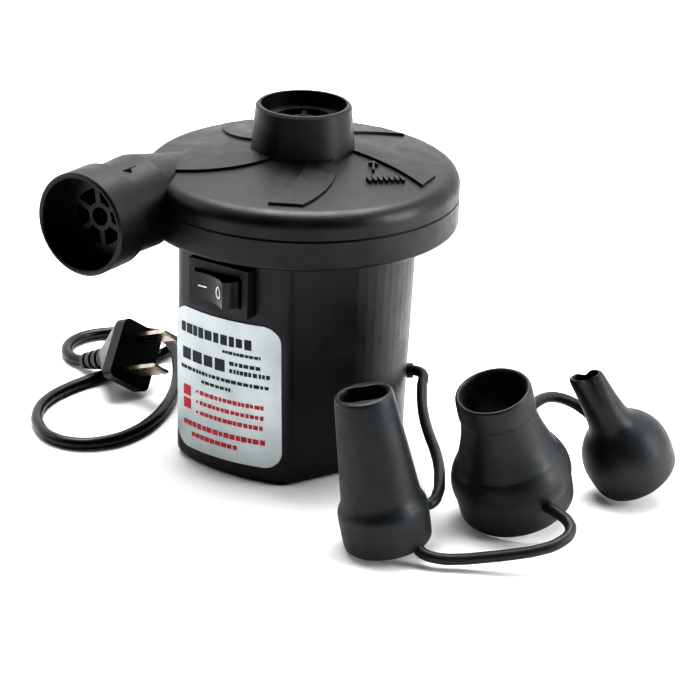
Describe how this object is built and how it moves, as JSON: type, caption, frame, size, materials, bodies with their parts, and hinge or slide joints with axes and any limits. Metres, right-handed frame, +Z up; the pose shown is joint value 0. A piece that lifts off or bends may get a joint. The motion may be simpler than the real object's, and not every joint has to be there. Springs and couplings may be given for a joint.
{
  "type": "electric air pump",
  "caption": "Corded electric air pump for air beds: round fan case on a flat-fronted body, side outlet, top inlet, rocker switch, and soft nozzles on a tether.",
  "frame": {"origin": "on the pump's axis, on the plane of its flat base", "axes": "+Z up along the pump's axis; -Y out of the label panel and the outlet tube; +X towards the nozzles"},
  "size_m": [0.2384, 0.1637, 0.117],
  "materials": {
    "case_black": "fine-grained matte black",
    "guard_black": "satin black",
    "gasket": "soft matte",
    "plate_steel": "zinc plated",
    "screw_steel": "bright zinc",
    "can_steel": "drawn steel",
    "magnet": "ferrite grey",
    "bearing": "sintered bronze",
    "cap_plastic": "cream",
    "carbon": "carbon",
    "spring_brass": "drawn wire",
    "contact_brass": "bright",
    "board": "solder mask",
    "diode_black": "moulded",
    "capacitor": "sleeve",
    "switch_black": "satin",
    "wire_red": "insulation",
    "wire_blue": "insulation",
    "label_silver": "silver film",
    "cord_black": "satin sheath",
    "blade_metal": "plated",
    "shaft_steel": "ground",
    "core_steel": "laminated",
    "copper": "enamelled wire",
    "fan_plastic": "natural",
    "rocker_black": "satin",
    "mark_white": "paint",
    "nozzle_rubber": "soft matte bluish black"
  },
  "bodies": {
    "pump": {"lower_housing": "case_black", "upper_cover": "case_black", "outlet_grille": "guard_black", "plate_gasket": "gasket", "motor_plate": "plate_steel", "plate_screws": "screw_steel", "cover_screws": "screw_steel", "motor_can": "can_steel", "motor_screws": "screw_steel", "field_magnets": "magnet", "upper_bearing": "bearing", "lower_bearing": "bearing", "end_cap": "cap_plastic", "carbon_brushes": "carbon", "brush_springs": "spring_brass", "motor_terminals": "contact_brass", "rectifier_board": "board", "diodes": "diode_black", "capacitor": "capacitor", "board_screws": "screw_steel", "switch_body": "switch_black", "switch_terminals": "contact_brass", "switch_leads": "wire_red", "motor_leads": "wire_blue", "label_plate": "label_silver", "cord_gland": "cord_black", "cord_clamp": "guard_black", "clamp_screws": "screw_steel", "cord_tail": "cord_black", "tether_stud": "case_black", "cord_lead": "cord_black", "cord_coil": "cord_black", "coil_tie": "gasket", "cord_run": "cord_black", "plug_relief": "cord_black", "plug_body": "cord_black", "plug_blades": "blade_metal"},
    "rotor": {"motor_shaft": "shaft_steel", "armature_core": "core_steel", "armature_windings": "copper", "commutator": "copper", "impeller": "fan_plastic", "impeller_hub": "bearing"},
    "rocker": {"rocker": "rocker_black", "rocker_marks": "mark_white"},
    "tall_nozzle": {"tall_nozzle": "nozzle_rubber", "tether_1": "nozzle_rubber"},
    "wide_nozzle": {"wide_nozzle": "nozzle_rubber", "tether_2": "nozzle_rubber"},
    "pinch_nozzle": {"pinch_nozzle": "nozzle_rubber", "tether_3": "nozzle_rubber"}
  },
  "joints": [
    {"name": "rotor_spin", "type": "hinge", "parent": "pump", "child": "rotor", "pos_m": [0, 0, 0.05], "axis": [0, 0, 1], "continuous": true},
    {"name": "rocker_flip", "type": "hinge", "parent": "pump", "child": "rocker", "pos_m": [0, -0.0436, 0.0667], "axis": [0, 0, 1], "range_deg": [0, 26]},
    {"name": "tall_nozzle_lift", "type": "slide", "parent": "pump", "child": "tall_nozzle", "axis": [0, 0, 1], "range_m": [0, 0.03], "deforming": ["tether_1"]},
    {"name": "wide_nozzle_lift", "type": "slide", "parent": "tall_nozzle", "child": "wide_nozzle", "axis": [0, 0, 1], "range_m": [0, 0.03], "deforming": ["tether_2"]},
    {"name": "pinch_nozzle_lift", "type": "slide", "parent": "wide_nozzle", "child": "pinch_nozzle", "axis": [0, 0, 1], "range_m": [0, 0.03], "deforming": ["tether_3"]}
  ]
}
